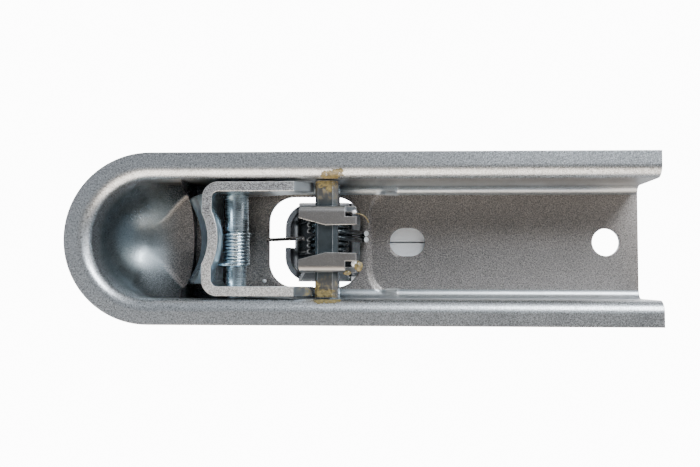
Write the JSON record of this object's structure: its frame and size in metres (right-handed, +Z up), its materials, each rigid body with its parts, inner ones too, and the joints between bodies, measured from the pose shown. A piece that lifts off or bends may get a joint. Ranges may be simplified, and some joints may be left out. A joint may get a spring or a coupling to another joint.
{
  "type": "trailer coupling head",
  "caption": "Straight-tongue trailer coupling head: pressed channel with a ball socket, hinged jaw, lock bar and latch lever.",
  "frame": {"origin": "centre of the towing ball that the socket takes", "axes": "+X along the channel from the nose to the rear end, +Z up towards the web and the lever, open side down"},
  "size_m": [0.2607, 0.076, 0.0508],
  "materials": {
    "housing_zinc": "zinc-plated pressed steel, slightly grainy",
    "jaw_zinc": "zinc-plated strap with bright sheared edges",
    "pin_zinc": "smooth zinc plating",
    "spring_zinc": "bright zinc-plated spring wire",
    "lever_zinc": "bright zinc-plated folded sheet",
    "bar_steel": "zinc-plated bar with grease at its ends",
    "oiled_spring": "dark oiled spring wire"
  },
  "bodies": {
    "housing": {"coupler_body": "housing_zinc", "jaw_pin": "pin_zinc", "spacer_sleeve": "pin_zinc", "lever_pin": "pin_zinc", "lever_spacer_left": "pin_zinc", "lever_spacer_right": "pin_zinc", "lever_spring_left": "oiled_spring", "lever_spring_right": "oiled_spring", "spring_hook": "oiled_spring"},
    "jaw_body": {"jaw": "jaw_zinc", "jaw_spring": "spring_zinc"},
    "lever_body": {"lever": "lever_zinc", "lock_bar": "bar_steel"}
  },
  "joints": [
    {"name": "lever_pivot", "type": "hinge", "parent": "housing", "child": "lever_body", "pos_m": [0.0774, 0, 0.014], "axis": [0, -1, 0], "range_deg": [0, 25], "deforming": ["lever_spring_left", "lever_spring_right"]},
    {"name": "jaw_pivot", "type": "hinge", "parent": "housing", "child": "jaw_body", "pos_m": [0.0352, 0, 0.012], "axis": [0, -1, 0], "range_deg": [0, 10]}
  ],
  "couplings": [
    {"joint": "jaw_pivot", "follows": "lever_pivot", "ratio": 0.4}
  ]
}
